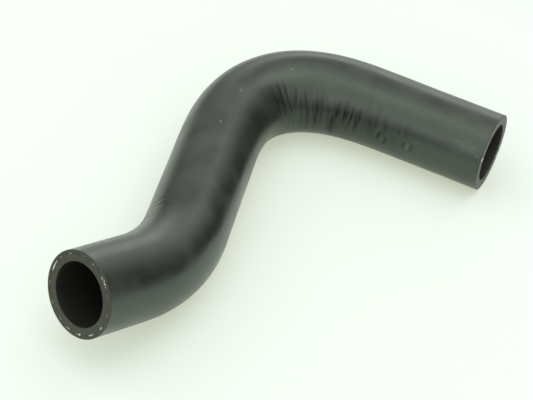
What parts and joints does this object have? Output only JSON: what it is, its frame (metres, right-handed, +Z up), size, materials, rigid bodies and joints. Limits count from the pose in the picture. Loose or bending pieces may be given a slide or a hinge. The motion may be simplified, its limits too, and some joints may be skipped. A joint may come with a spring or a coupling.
{
  "type": "radiator hose",
  "caption": "Moulded rubber coolant hose with two bends in different planes, a plain round bore and square-cut ends.",
  "frame": {"origin": "middle of the bounding box, on the floor that the hose lies on", "axes": "+Z up; +X along the right leg, out of its end; +Y from the left end towards the right bend"},
  "size_m": [0.1336, 0.2254, 0.0523],
  "materials": {
    "epdm_rubber": "satin moulded rubber, matt where it is cut"
  },
  "bodies": {
    "root": {"hose": "epdm_rubber"}
  },
  "joints": []
}
